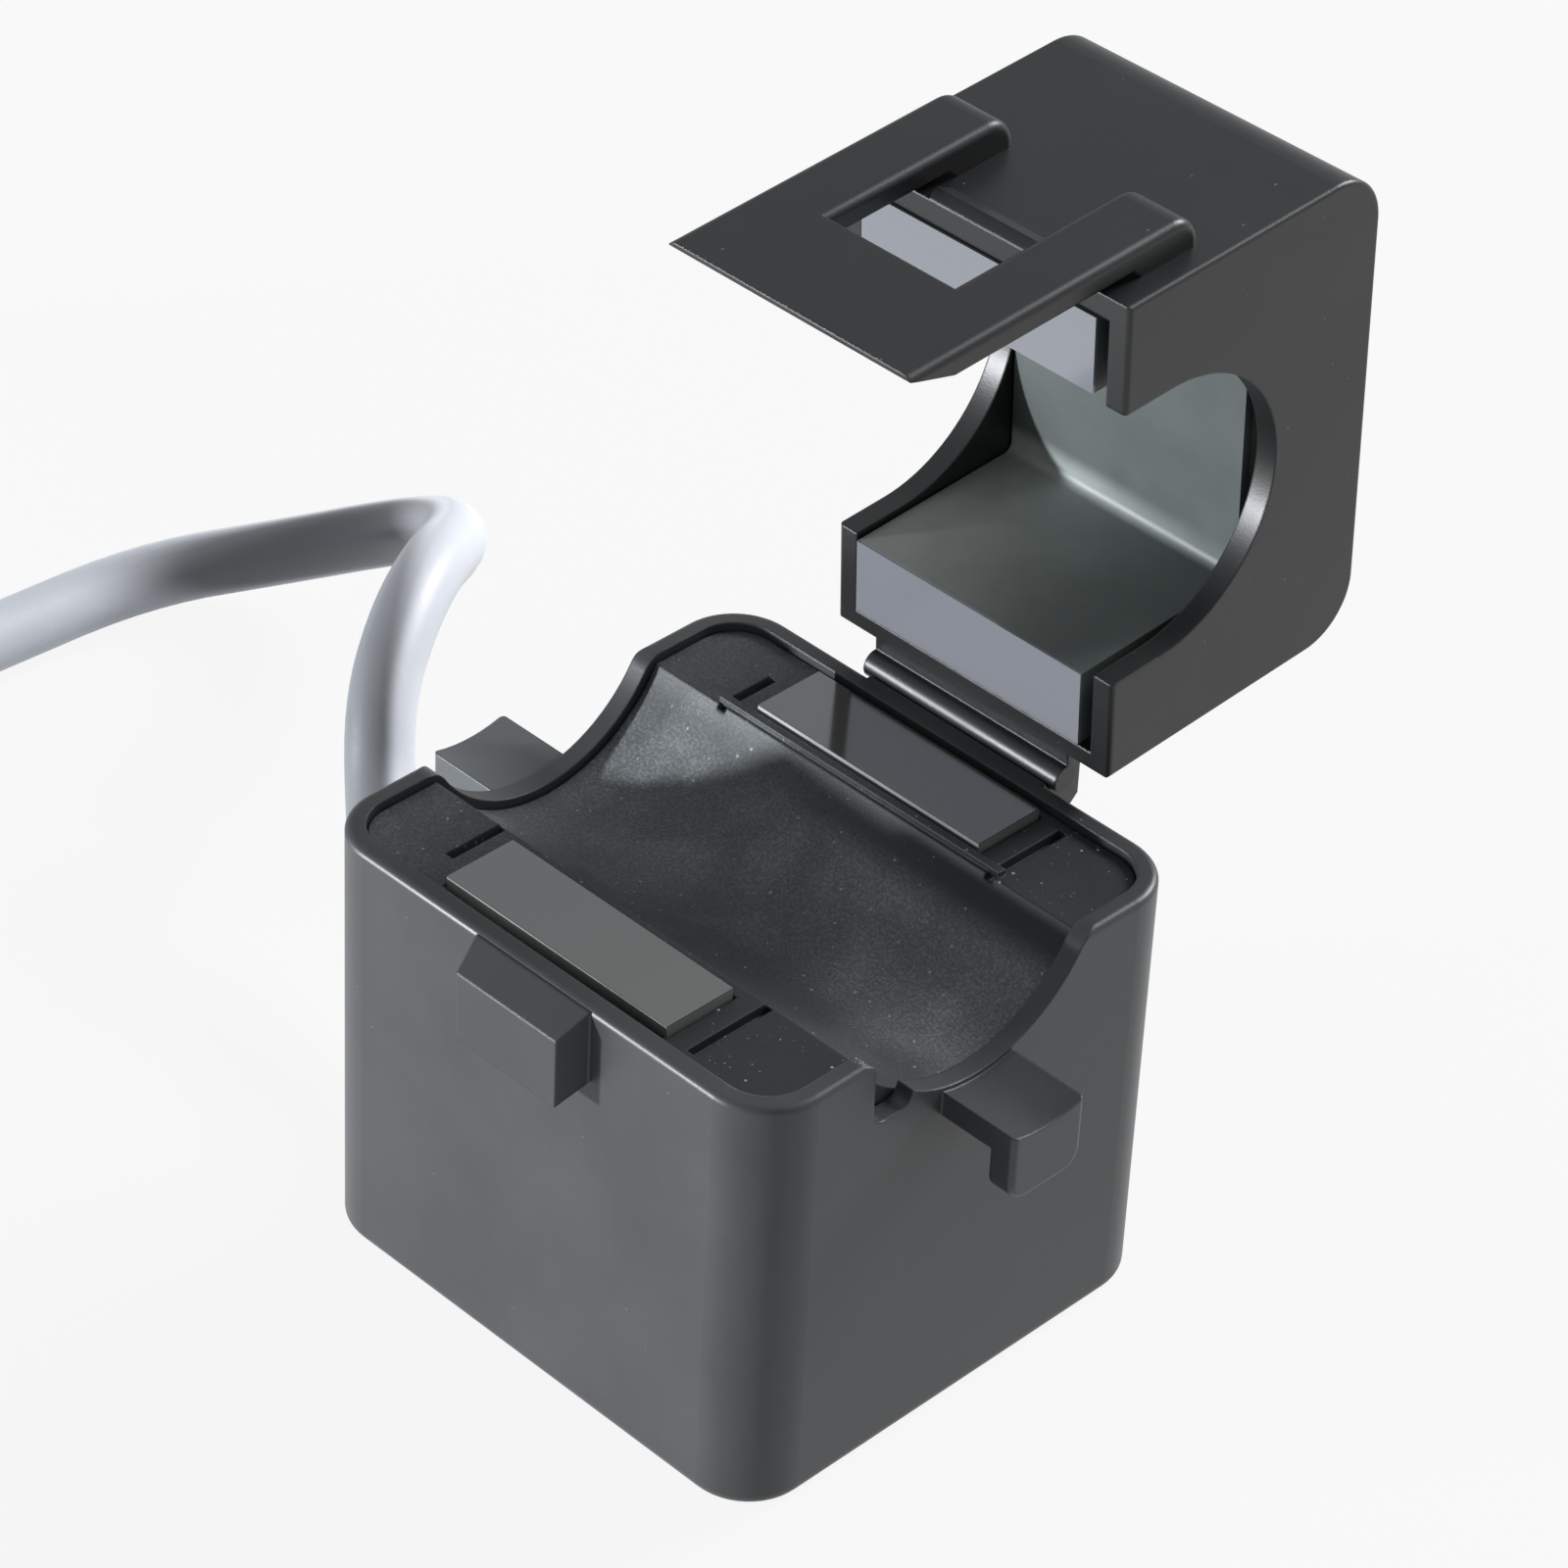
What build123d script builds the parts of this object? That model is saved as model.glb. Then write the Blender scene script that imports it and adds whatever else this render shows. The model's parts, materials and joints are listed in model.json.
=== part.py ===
from build123d import *
import math
import os

os.makedirs("parts", exist_ok=True)

# Frame: +X along the conductor, +Y towards the hinge, +Z up, origin at the middle of the base's foot.
# The lid is modelled closed and then swung open about its hinge bar to the rest pose.

# Base shell
BODY_LENGTH = 32.5
BODY_WIDTH = 30.0
BODY_HEIGHT = 26.0
BODY_CORNER = 3.6
FOOT_EDGE = 0.8
RIM_EDGE = 0.4
WALL = 1.1
LEDGE = 0.6
FLOOR = 1.2

# Round aperture for the conductor, its centre above the rim
HOLE_R = 8.35
HOLE_LIFT = 3.65
SHOULDER_R = 1.5

# Cable-tie tongue at each end
TONGUE_REACH = 4.9
TONGUE_SINK = 0.25
TONGUE_W = 5.0
TONGUE_T = 1.4
TONGUE_EDGE = 0.3
LIP_T = 1.5
LIP_DROP = 3.9
LIP_CORNER = 1.2
NOTCH_W = 2.8
NOTCH_Y = -6.05
NOTCH_DEPTH = 4.1
NOTCH_CORNER = 0.9

# Two equal U cores of ferrite
CORE_STACK = 15.9
CORE_HOLE_ROOM = 0.35
CORE_SIDE_ROOM = 0.1
YOKE_SHARE = 0.363
CORE_IN_R = 0.55
CORE_OUT_R = 1.5
POLE_PROUD = 0.1
POLE_GAP = 0.1

# Insert that closes the base round the poles
INSERT_DROP = 0.5
INSERT_T = 1.0
FIT = 0.1
POLE_ROOM = 0.15
TROUGH_STEP = 0.5
TROUGH_T = 1.0
RIB_T = 0.45
RIB_H = 0.35
RIB_LENGTH = 20.2
SLOT_T = 0.6
SLOT_DEPTH = 0.6
SLOT_OUT = 1.7
FAR_SLOT_SHORT = 1.7

# Lid shell
LID_GAP = 0.3
LID_NEAR_ROOM = 0.8
LID_FAR_ROOM = 0.1
LID_PLATE = 1.3
LID_FRONT_WALL = 1.35
LID_BACK_WALL = 1.0
LID_ROOF = 1.35
LID_CORNER = 3.4
LID_IN_CORNER = 2.0
LID_EDGE = 0.25
CORE_ROOM = 0.15
SPRING_ROOM = 1.2
SPRING_T = 0.25
SPRING_W = 8.0
SPRING_PLAY = 0.02
PAD_INSET = 0.6

# Latch strap and catch
STRAP_CLEAR = 0.3
STRAP_T = 1.3
STRAP_W = 16.4
STRAP_DROP = 13.6
STRAP_EDGE = 0.5
STRAP_LEAD = 3.0
STRAP_TIP_T = 0.3
STRAP_WINDOW_W = 8.4
HUMP_TOP = 6.6
HUMP_FOOT = 2.4
HUMP_R = 1.7
CATCH_SIDE_ROOM = 0.6
CATCH_SPREAD = 0.5
CATCH_REACH = 1.8
CATCH_H = 5.5
CATCH_SHOULDER = 0.15
CATCH_SLOPE = 1.35
CATCH_HOOK = 0.9
CATCH_PLAY = 1.0
EDGE_LIP = 0.5

# Hinge
BAR_R = 0.8
BAR_LENGTH = 13.8
BAR_GAP = 0.1
BAR_RISE = 0.18
BAR_RUN = 0.06
WEB_T = 0.5
SOCKET_T = 0.9
SOCKET_W = 12.6
SOCKET_DROP = 4.5
SOCKET_MOUTH = 35.0
OPEN_ANGLE = 87.0

# Winding on the lower yoke
YOKE_ROOM = 0.15
HUB_T = 0.8
FLANGE_T = 0.9
FLANGE_EDGE = 0.5
CHIP_ROOM = 1.35
TROUGH_ROOM = 1.45
TAPE_T = 0.2
LEG_ROOM = 0.2

# Circuit board and its pieces
BOARD_T = 1.0
BOARD_WIDTH = 17.6
BOARD_ROOM = 0.65
BOARD_END_ROOM = 2.65
LEAD_INSET = 0.65
BOSS_H = 0.8
BOSS_R = 1.4
PIN_R = 0.35
PIN_X = 6.0
PIN_DEEP = 0.6
RESISTOR = (3.2, 1.6, 0.6)
RESISTOR_AT = (-4.0, 3.0)
DIODE = (4.2, 2.6, 1.6)
DIODE_AT = (3.0, -2.0)
CUSHION_T = 0.5
GUSSET_T = 1.4
GUSSET_X = 5.0

# Cable, its bush and its ends
CABLE_R = 2.0
CABLE_Z = 5.2
BUSH_COLLAR_R = 3.1
BUSH_NECK_R = 2.6
BUSH_TIP_R = 2.45
BUSH_REACH = 3.2
BUSH_COLLAR_T = 0.8
CORE_WIRE_R = 0.6
CORE_WIRE_PITCH = 1.5
CABLE_IN = 0.8
CABLE_X = -(BODY_LENGTH / 2 - WALL - LEDGE)

# Cable route, chosen by hand: out of the bush, back in an arch, down and away to the coil
CABLE_Y = -2.6
ROUTE = [
    (CABLE_X + CABLE_IN, CABLE_Y, CABLE_Z), (-24.2, CABLE_Y, CABLE_Z), (-32.2, 3.6, 8.6), (-35.4, 6.4, 12.5),
    (-38.0, 10.4, 14.7), (-40.6, 14.9, 15.1), (-43.3, 19.3, 13.4), (-47.4, 22.4, 10.9), (-53.3, 23.4, 7.1),
    (-59.9, 20.7, 3.5), (-65.3, 13.8, 2.1), (-66.0, 2.1, 2.2), (-66.3, -7.9, 2.6), (-66.4, -16.0, 3.1)]
COIL_X = -91.0
COIL_Y = -16.0
COIL_R = 23.0
COIL_ACROSS = 2
COIL_UP = 3
TIE_T = 0.5
TIE_W = 3.0
TIE_ANGLE = 250.0
TAIL = [
    (-66.4, -16.0, 9.9), (-66.2, -21.2, 9.6), (-65.8, -26.6, 7.2), (-65.4, -31.6, 4.2), (-65.0, -36.0, 2.4),
    (-64.6, -40.0, 2.05)]
CORE_WIRE_OUT = 3.4
TIP_R = 0.4
TIP_OUT = 2.0

# Inside of the base
HOLE_Z = BODY_HEIGHT + HOLE_LIFT
SEAT_Z = BODY_HEIGHT - INSERT_DROP - INSERT_T
TROUGH_R = HOLE_R + TROUGH_STEP
TROUGH_BED_R = TROUGH_R + TROUGH_T
IN_X = BODY_LENGTH / 2 - WALL
IN_Y = BODY_WIDTH / 2 - WALL
BOARD_Z = FLOOR + BOSS_H
BOARD_TOP = BOARD_Z + BOARD_T
BOARD_START = CABLE_X + CABLE_IN + BOARD_ROOM
BOARD_LENGTH = IN_X - LEDGE - BOARD_END_ROOM - BOARD_START
BOARD_X = BOARD_START + BOARD_LENGTH / 2

# Winding space, between the board's pieces and the trough
WOUND_LOW = BOARD_TOP + DIODE[2] + CHIP_ROOM
WOUND_HIGH = HOLE_Z - TROUGH_BED_R - TROUGH_ROOM
YOKE_Z = (WOUND_LOW + WOUND_HIGH) / 2
YOKE_T = YOKE_SHARE * (WOUND_HIGH - WOUND_LOW)
FLANGE_Z = (WOUND_HIGH - WOUND_LOW) / 2
HUB_X = CORE_STACK / 2 + YOKE_ROOM + HUB_T
HUB_Z = YOKE_T / 2 + YOKE_ROOM + HUB_T
WINDING_T = FLANGE_Z - HUB_Z - FLANGE_EDGE
FLANGE_X = HUB_X + WINDING_T + FLANGE_EDGE

# Core levels and sides
POLE_Z = BODY_HEIGHT + POLE_PROUD
CORE_FOOT = YOKE_Z - YOKE_T / 2
CORE_DEPTH = POLE_Z - CORE_FOOT - YOKE_T
CORE_IN = HOLE_R + CORE_HOLE_ROOM
CORE_OUT = IN_Y - LEDGE - CORE_SIDE_ROOM
CORE_X = (LID_FAR_ROOM - LID_NEAR_ROOM) / 2
FORMER_Y = CORE_IN - LEG_ROOM

# Closed lid
LID_Z = BODY_HEIGHT + LID_GAP
UPPER_POLE_Z = POLE_Z + POLE_GAP
CORE_TOP = UPPER_POLE_Z + CORE_DEPTH + YOKE_T
LID_IN_X = (CORE_STACK + LID_NEAR_ROOM + LID_FAR_ROOM) / 2
LID_X = LID_IN_X + LID_PLATE
LID_IN_Y = CORE_OUT + CORE_ROOM
LID_FRONT = -LID_IN_Y - LID_FRONT_WALL
LID_BACK = LID_IN_Y + LID_BACK_WALL
LID_TOP = CORE_TOP + SPRING_ROOM + LID_ROOF
HINGE_Y = BODY_WIDTH / 2 + BAR_GAP + BAR_R
HINGE_Z = BODY_HEIGHT + BAR_RISE


def block(x0, x1, y0, y1, z0, z1):
    return Pos((x0 + x1) / 2, (y0 + y1) / 2, (z0 + z1) / 2) * Box(x1 - x0, y1 - y0, z1 - z0)


def slab(length, width, z0, z1, corner):
    outline = RectangleRounded(length, width, corner)
    return Pos(0, 0, z0) * extrude(outline, z1 - z0)


def rod_x(radius, x0, x1, y, z):
    return Pos((x0 + x1) / 2, y, z) * Rot(0, 90, 0) * Cylinder(radius, x1 - x0)


def side_profile(points, x0, x1):
    """Extrudes a closed (y, z) outline along X."""
    face = make_face(Polyline(*[(x0, y, z) for y, z in points], close=True))
    return extrude(face, x1 - x0, dir=(1, 0, 0))


def swing(shape):
    """Opens a closed lid piece to the rest pose."""
    axis = Axis((0, HINGE_Y, HINGE_Z), (1, 0, 0))
    return shape.rotate(axis, -OPEN_ANGLE)


def tongue(side):
    """Curved strip just below the aperture's wall, with a lip that keeps a cable tie on."""
    inner, outer = BODY_LENGTH / 2, BODY_LENGTH / 2 + TONGUE_REACH
    radius, half = HOLE_R + TONGUE_SINK, TONGUE_W / 2
    ring = rod_x(radius + TONGUE_T, inner, outer, 0, HOLE_Z)
    strip = ring & block(inner, outer, -half, half, 0, HOLE_Z)
    lip = block(outer - LIP_T, outer, -half, half, HOLE_Z - radius - LIP_DROP, HOLE_Z - half)
    low = lip.edges().filter_by(Axis.X).sort_by(Axis.Z)[:2]
    whole = strip + fillet(low, LIP_CORNER)
    whole = fillet(whole.faces().sort_by(Axis.X)[-1].edges(), TONGUE_EDGE)
    whole -= rod_x(radius, inner - 1, outer + 1, 0, HOLE_Z)
    return whole if side > 0 else whole.mirror(Plane.YZ)


def shoulder(side):
    """What is cut away where the end walls' rim turns down into the aperture."""
    z = BODY_HEIGHT - SHOULDER_R
    far = HOLE_R + SHOULDER_R
    y = math.sqrt(far ** 2 - (HOLE_Z - z) ** 2)
    touch_y, touch_z = y * HOLE_R / far, HOLE_Z - (HOLE_Z - z) * HOLE_R / far
    x = BODY_LENGTH / 2 + 1
    region = side_profile(
        [(y, BODY_HEIGHT + 1), (y, BODY_HEIGHT), (touch_y, touch_z), (0, touch_z), (0, BODY_HEIGHT + 1)], -x, x)
    cut = region - rod_x(SHOULDER_R, -x - 1, x + 1, y, z)
    return cut if side > 0 else cut.mirror(Plane.XZ)


def end_notch():
    """Relief beside the tongue, cut through the near end wall."""
    cut = block(IN_X - LEDGE - 0.1, BODY_LENGTH / 2 + 1, NOTCH_Y - NOTCH_W / 2, NOTCH_Y + NOTCH_W / 2,
                BODY_HEIGHT - NOTCH_DEPTH, BODY_HEIGHT + 1)
    return fillet(cut.edges().filter_by(Axis.X).sort_by(Axis.Z)[:2], NOTCH_CORNER)


def catch():
    """Snap catch on the front wall: ramp above, hook below, wider at its root than at its face."""
    wall, face = -BODY_WIDTH / 2, -BODY_WIDTH / 2 - CATCH_REACH
    half = STRAP_WINDOW_W / 2 - CATCH_SIDE_ROOM
    root = half + CATCH_SPREAD
    low = BODY_HEIGHT - CATCH_H
    plan = make_face(Polyline((-root, wall, 0), (root, wall, 0), (half, face, 0), (-half, face, 0), close=True))
    side = side_profile(
        [(wall, BODY_HEIGHT - CATCH_SHOULDER), (face, BODY_HEIGHT - CATCH_SLOPE), (face, low),
         (wall, low + CATCH_HOOK)], -root, root)
    return side & extrude(plan, BODY_HEIGHT, dir=(0, 0, 1))


def socket():
    """Open hinge socket behind the base that holds the lid's bar."""
    x0, x1 = -SOCKET_W / 2, SOCKET_W / 2
    back = BODY_WIDTH / 2
    bore = BAR_R + BAR_RUN
    rear = HINGE_Y + bore + SOCKET_T
    mouth = math.radians(SOCKET_MOUTH)
    top_z = HINGE_Z + (bore + SOCKET_T) * math.sin(mouth)
    body = side_profile(
        [(back - WALL / 2, HINGE_Z - SOCKET_DROP), (back, HINGE_Z - SOCKET_DROP),
         (rear, HINGE_Z - SOCKET_DROP * 0.45), (rear, top_z), (back - WALL / 2, top_z)], x0, x1)
    reach = 4 * (bore + SOCKET_T)
    opening = side_profile(
        [(HINGE_Y, HINGE_Z), (HINGE_Y + reach * math.cos(mouth), HINGE_Z + reach * math.sin(mouth)),
         (HINGE_Y - reach, HINGE_Z + reach), (HINGE_Y - reach, BODY_HEIGHT), (HINGE_Y, BODY_HEIGHT)],
        x0 - 1, x1 + 1)
    return body - opening - rod_x(bore, x0 - 1, x1 + 1, HINGE_Y, HINGE_Z)


def gussets():
    """Brackets under the lower core's two legs."""
    top = CORE_FOOT - CUSHION_T
    inner_y = CORE_IN + 0.4
    outer_y = IN_Y - LEDGE + 0.1
    group = None
    for sx in (-1, 1):
        for sy in (-1, 1):
            piece = block(sx * GUSSET_X - GUSSET_T / 2, sx * GUSSET_X + GUSSET_T / 2,
                          min(sy * inner_y, sy * outer_y), max(sy * inner_y, sy * outer_y), FLOOR - 0.1, top)
            group = piece if group is None else group + piece
    return group


def board_boss(x, y):
    return Pos(x, y, FLOOR - 0.1) * Cylinder(BOSS_R, BOSS_H + 0.1, align=(Align.CENTER, Align.CENTER, Align.MIN))


def base_shell():
    shell = slab(BODY_LENGTH, BODY_WIDTH, 0, BODY_HEIGHT, BODY_CORNER)
    shell = fillet(shell.faces().sort_by(Axis.Z)[0].edges(), FOOT_EDGE)
    shell = fillet(shell.faces().sort_by(Axis.Z)[-1].edges(), RIM_EDGE)
    shell -= slab(2 * IN_X, 2 * IN_Y, SEAT_Z, BODY_HEIGHT + 1, BODY_CORNER - WALL)
    shell -= slab(2 * (IN_X - LEDGE), 2 * (IN_Y - LEDGE), FLOOR, SEAT_Z + 0.1, BODY_CORNER - WALL - LEDGE)
    shell -= rod_x(HOLE_R, -BODY_LENGTH, BODY_LENGTH, 0, HOLE_Z)
    shell -= rod_x(TROUGH_BED_R + FIT, -IN_X, IN_X, 0, HOLE_Z)
    shell -= shoulder(1) + shoulder(-1)
    shell -= end_notch()
    shell += catch() + socket() + gussets()
    for side in (-1, 1):
        shell += tongue(side)
        for y in (-BOARD_WIDTH / 2 + BOSS_R, BOARD_WIDTH / 2 - BOSS_R):
            shell += board_boss(BOARD_X + side * (BOARD_LENGTH / 2 - BOSS_R), y)
    shell -= rod_x(BUSH_NECK_R, -BODY_LENGTH, CABLE_X + 1, CABLE_Y, CABLE_Z)
    return shell


def base_insert():
    """Cover plate with the trough, the two pole windows and the slots beside them."""
    top = SEAT_Z + INSERT_T
    plate = slab(2 * (IN_X - FIT), 2 * (IN_Y - FIT), SEAT_Z, top, BODY_CORNER - WALL - FIT)
    reach = IN_X - FIT
    bed = rod_x(TROUGH_BED_R, -reach, reach, 0, HOLE_Z) & block(-reach, reach, -IN_Y, IN_Y, 0, top)
    part = plate + bed - rod_x(TROUGH_R, -reach - 1, reach + 1, 0, HOLE_Z)
    for side in (-1, 1):
        part -= beside_hole(side, CORE_X, CORE_STACK / 2 + POLE_ROOM, CORE_IN - POLE_ROOM, CORE_OUT + POLE_ROOM, 0)
        for end in (-1, 1):
            out = CORE_OUT if end > 0 else CORE_OUT - FAR_SLOT_SHORT
            x = CORE_X + end * (CORE_STACK / 2 + SLOT_OUT)
            part -= beside_hole(side, x, SLOT_T / 2, CORE_IN - TROUGH_T, out, top - SLOT_DEPTH)
    rib_y = CORE_IN - POLE_ROOM - RIB_T / 2 - 0.1
    part += block(CORE_X - RIB_LENGTH / 2, CORE_X + RIB_LENGTH / 2, rib_y - RIB_T / 2, rib_y + RIB_T / 2,
                  top - 0.1, top + RIB_H)
    return part


def beside_hole(side, x, half, y0, y1, z0):
    """Cutter for one side of the trough, open at the top."""
    return block(x - half, x + half, min(side * y0, side * y1), max(side * y0, side * y1), z0, BODY_HEIGHT + 1)


def u_core():
    """U core, poles up, foot of the yoke at z = 0."""
    height = CORE_DEPTH + YOKE_T
    body = block(-CORE_STACK / 2, CORE_STACK / 2, -CORE_OUT, CORE_OUT, 0, height)
    body -= block(-CORE_STACK, CORE_STACK, -CORE_IN, CORE_IN, YOKE_T, height + 1)
    inner = body.edges().filter_by(Axis.X).filter_by_position(Axis.Z, YOKE_T - 0.01, YOKE_T + 0.01)
    body = fillet(inner, CORE_IN_R)
    outer = body.edges().filter_by(Axis.X).filter_by_position(Axis.Z, -0.01, 0.01)
    return fillet(outer, CORE_OUT_R)


def lower_core():
    return Pos(CORE_X, 0, CORE_FOOT) * u_core()


def upper_core():
    return Pos(CORE_X, 0, CORE_TOP) * Rot(180, 0, 0) * u_core()


def coil_former(upper):
    """Half of the former that snaps round the yoke."""
    ends = []
    for side in (-1, 1):
        y0 = FORMER_Y - FLANGE_T
        flange = block(-FLANGE_X, FLANGE_X, y0, FORMER_Y, -FLANGE_Z, FLANGE_Z)
        flange = fillet(flange.edges().filter_by(Axis.Y), 1.0)
        ends.append(flange if side > 0 else flange.mirror(Plane.XZ))
    hub = block(-HUB_X, HUB_X, -FORMER_Y, FORMER_Y, -HUB_Z, HUB_Z)
    body = hub + ends[0] + ends[1]
    bore_x, bore_z = CORE_STACK / 2 + YOKE_ROOM, YOKE_T / 2 + YOKE_ROOM
    body -= block(-bore_x, bore_x, -FORMER_Y - 1, FORMER_Y + 1, -bore_z, bore_z)
    big = 4 * FLANGE_X
    half = block(-big, big, -big, big, 0, big) if upper else block(-big, big, -big, big, -big, 0)
    body = Pos(CORE_X, 0, YOKE_Z) * (body & half)
    if not upper:
        for x in (-PIN_X, PIN_X):
            body -= pin(x)
    return body


def winding_ring(inner_x, inner_z, thick, half_length):
    outer = block(-inner_x - thick, inner_x + thick, -half_length, half_length, -inner_z - thick, inner_z + thick)
    outer = fillet(outer.edges().filter_by(Axis.Y), min(thick, 1.6))
    ring = outer - block(-inner_x, inner_x, -half_length - 1, half_length + 1, -inner_z, inner_z)
    return Pos(CORE_X, 0, YOKE_Z) * ring


def winding():
    return winding_ring(HUB_X, HUB_Z, WINDING_T, FORMER_Y - FLANGE_T)


def winding_tape():
    core = Pos(-CORE_X, 0, -YOKE_Z) * winding()
    thick, half = WINDING_T, FORMER_Y - FLANGE_T - 0.4
    x, z = HUB_X + thick, HUB_Z + thick
    outer = block(-x - TAPE_T, x + TAPE_T, -half, half, -z - TAPE_T, z + TAPE_T)
    outer = fillet(outer.edges().filter_by(Axis.Y), min(thick, 1.6) + TAPE_T)
    inside = block(-HUB_X, HUB_X, -half - 1, half + 1, -HUB_Z, HUB_Z)
    return Pos(CORE_X, 0, YOKE_Z) * (outer - inside - core)


def pin(x):
    y = -(FORMER_Y - FLANGE_T / 2)
    top = YOKE_Z - FLANGE_Z + PIN_DEEP
    foot = BOARD_Z - 0.4
    return Pos(CORE_X + x, y, foot) * Cylinder(PIN_R, top - foot, align=(Align.CENTER, Align.CENTER, Align.MIN))


def terminal_pins():
    return [pin(-PIN_X), pin(PIN_X)]


def circuit_board():
    board = Pos(BOARD_X, 0, 0) * slab(BOARD_LENGTH, BOARD_WIDTH, BOARD_Z, BOARD_TOP, 0.8)
    return board - pin(-PIN_X) - pin(PIN_X)


def chip(size, place):
    (dx, dy, dz), (x, y) = size, place
    body = block(x - dx / 2, x + dx / 2, y - dy / 2, y + dy / 2, BOARD_TOP, BOARD_TOP + dz)
    return chamfer(body.edges().filter_by(Axis.Z), 0.2)


def core_cushions():
    """Thin pads between the gussets and the lower core."""
    pads = []
    for side in (-1, 1):
        y = side * (CORE_IN + CORE_OUT) / 2
        pads.append(block(-GUSSET_X - GUSSET_T, GUSSET_X + GUSSET_T, y - 1.2, y + 1.2,
                          CORE_FOOT - CUSHION_T, CORE_FOOT))
    return pads


def cable_bush():
    """Strain relief: flange inside, collar and tapered sleeve outside."""
    x_in, x_out = CABLE_X, -BODY_LENGTH / 2
    tip = x_out - BUSH_REACH
    turned = make_face(Polyline(
        (x_in + CABLE_IN, CABLE_R), (x_in + CABLE_IN, BUSH_COLLAR_R), (x_in, BUSH_COLLAR_R), (x_in, BUSH_NECK_R),
        (x_out, BUSH_NECK_R), (x_out, BUSH_COLLAR_R), (x_out - BUSH_COLLAR_T, BUSH_COLLAR_R),
        (x_out - BUSH_COLLAR_T, BUSH_NECK_R + 0.2), (tip, BUSH_TIP_R), (tip, CABLE_R), close=True))
    return Pos(0, CABLE_Y, CABLE_Z) * revolve(turned, Axis.X)


def wire_lead(side):
    """Inner conductor from the jacket's end to its pad on the board."""
    y = CABLE_Y + side * CORE_WIRE_PITCH / 2
    start = CABLE_X + CABLE_IN
    knee = BOARD_X - BOARD_LENGTH / 2 + LEAD_INSET
    path = FilletPolyline((start, y, CABLE_Z), (knee, y, CABLE_Z), (knee, y, BOARD_TOP), radius=0.9)
    return sweep(Plane(origin=path @ 0, z_dir=path % 0) * Circle(CORE_WIRE_R), path)


def cord_radii(points):
    """The arc at each point takes 0.45 of the shorter run beside it."""
    radii = []
    for a, b, c in zip(points, points[1:], points[2:]):
        first, second = Vector(*b) - Vector(*a), Vector(*c) - Vector(*b)
        half = math.radians(first.get_angle(second)) / 2
        radii.append(0.45 * min(first.length, second.length) / math.tan(half))
    return radii


def cord(points, radius):
    radii = cord_radii(points)
    print("cord radii", [round(r, 1) for r in radii])
    path = FilletPolyline(*points, radius=radii)
    tube = sweep(Plane(origin=path @ 0, z_dir=path % 0) * Circle(radius), path)
    expected = math.pi * radius ** 2 * path.length
    print("cord length", round(path.length, 1), "volume ratio", round(tube.volume / expected, 4))
    return tube


def ring_point(radius, angle, z):
    """A point over the coil's middle, its angle in degrees."""
    turn = math.radians(angle)
    return (COIL_X + radius * math.cos(turn), COIL_Y + radius * math.sin(turn), z)


def cable_coil():
    """Outer shape of the put-away turns, with grooves where the cable joins and leaves them."""
    width, height = 2 * COIL_ACROSS * CABLE_R, 2 * COIL_UP * CABLE_R
    section = Plane.XZ * Pos(COIL_R, TIE_T + height / 2) * RectangleRounded(width, height, CABLE_R * 0.9)
    ring = Pos(COIL_X, COIL_Y, 0) * revolve(section, Axis.Z)
    return ring - cord(ROUTE, CABLE_R) - cord(TAIL, CABLE_R)


def coil_tie():
    """Band round all the turns at one place."""
    width, height = 2 * COIL_ACROSS * CABLE_R, 2 * COIL_UP * CABLE_R
    outer = RectangleRounded(width + 2 * TIE_T, height + 2 * TIE_T, CABLE_R * 0.9 + TIE_T)
    inner = RectangleRounded(width, height, CABLE_R * 0.9)
    middle = ring_point(COIL_R, TIE_ANGLE, TIE_T + height / 2)
    across = Plane(origin=middle, x_dir=Vector(*ring_point(COIL_R, TIE_ANGLE, 0)) - Vector(COIL_X, COIL_Y, 0),
                   z_dir=(-math.sin(math.radians(TIE_ANGLE)), math.cos(math.radians(TIE_ANGLE)), 0))
    band = extrude(across * (outer - inner), TIE_W / 2, both=True)
    section = Plane.XZ * Pos(COIL_R, TIE_T + height / 2) * inner
    return band - Pos(COIL_X, COIL_Y, 0) * revolve(section, Axis.Z)


def tail_wire(side, start, length, radius):
    """One of the two conductors past the jacket's end, in line with it."""
    end, before = Vector(*TAIL[-1]), Vector(*TAIL[-2])
    along = (end - before).normalized()
    out = along.cross(Vector(0, 0, 1)).normalized()
    foot = end + along * start + out * (side * CORE_WIRE_PITCH / 2)
    return Plane(origin=foot, z_dir=along) * Cylinder(radius, length, align=(Align.CENTER, Align.CENTER, Align.MIN))


def lid_box(grow_y0, grow_y1, z0, z1, x, corner):
    face = Plane.YZ * Pos((grow_y0 + grow_y1) / 2, (z0 + z1) / 2) * Rectangle(grow_y1 - grow_y0, z1 - z0)
    solid = Pos(-x, 0, 0) * extrude(face, 2 * x, dir=(1, 0, 0))
    top = solid.edges().filter_by(Axis.X).sort_by(Axis.Z)[-2:]
    return fillet(top, corner)


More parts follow.
